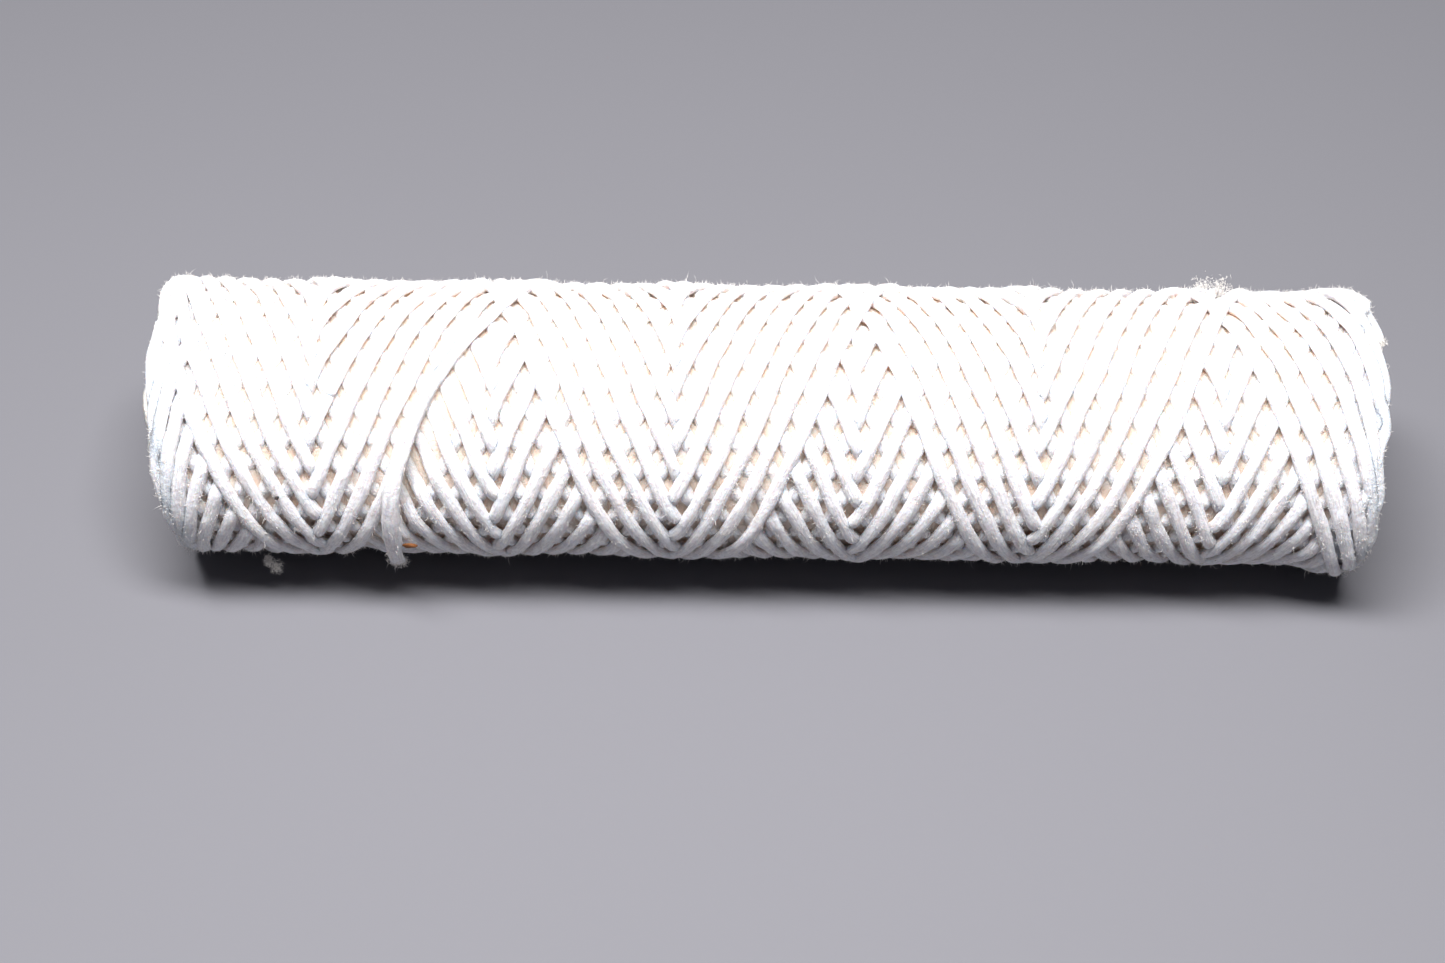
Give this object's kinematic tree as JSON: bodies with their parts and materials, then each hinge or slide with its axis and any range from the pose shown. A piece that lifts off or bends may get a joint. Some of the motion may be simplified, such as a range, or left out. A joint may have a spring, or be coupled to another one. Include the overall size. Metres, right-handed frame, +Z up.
{
  "type": "string-wound filter cartridge",
  "caption": "Open-bore cylinder of soft cotton strand cross-wound in a diamond lattice over a perforated metal core, for straining liquid that passes through its wall.",
  "frame": {"origin": "centre of the bore, at the middle of the cartridge's length", "axes": "+X along the bore axis; +Z up with the cartridge lying down; -Y towards the side where the strand's free end lies"},
  "size_m": [0.25, 0.061, 0.0576],
  "materials": {
    "core_metal": "bright tin plate on thin perforated sheet",
    "cover_cloth": "thin non-woven cloth",
    "cotton": "soft brushed cotton roving, fuzzy and unbleached"
  },
  "bodies": {
    "root": {"core_tube": "core_metal", "core_cover": "cover_cloth", "winding_lay_1": "cotton", "winding_lay_2": "cotton", "winding_lay_3": "cotton", "winding_lay_4": "cotton", "yarn_tail": "cotton"}
  },
  "joints": []
}
